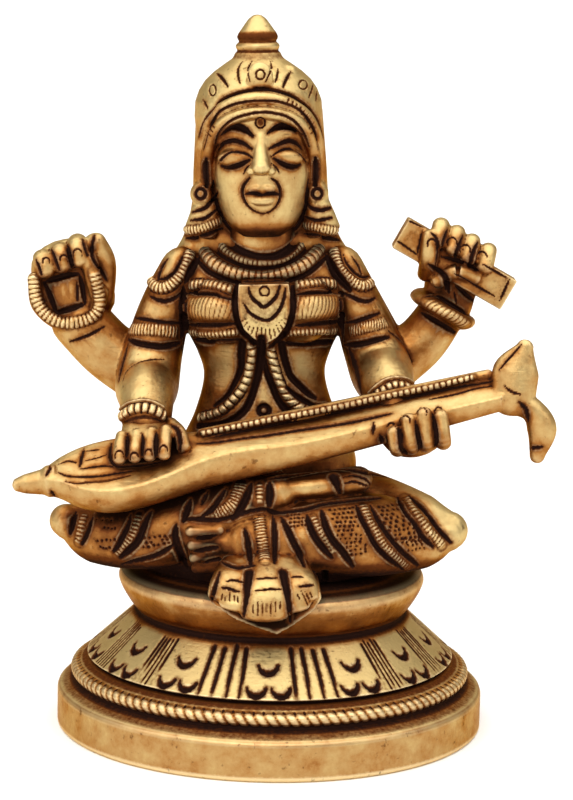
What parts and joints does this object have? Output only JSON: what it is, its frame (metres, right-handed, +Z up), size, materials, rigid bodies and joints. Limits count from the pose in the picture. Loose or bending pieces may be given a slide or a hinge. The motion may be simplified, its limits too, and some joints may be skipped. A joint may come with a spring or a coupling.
{
  "type": "cast brass saraswati figure",
  "caption": "Cast brass figure of a seated four-armed goddess who plays a veena, cross-legged on a cushion and a round lotus plinth; a small table ornament.",
  "frame": {"origin": "centre of the plinth's flat underside", "axes": "+Z up along the plinth's axis, the figure faces -Y, +X to the right of someone who faces the figure"},
  "size_m": [0.0839, 0.0688, 0.1138],
  "materials": {
    "brass": "sandcast brass, high places rubbed bright, dark brown antique patina left in the cuts"
  },
  "bodies": {
    "root": {"brass_casting": "brass"}
  },
  "joints": []
}
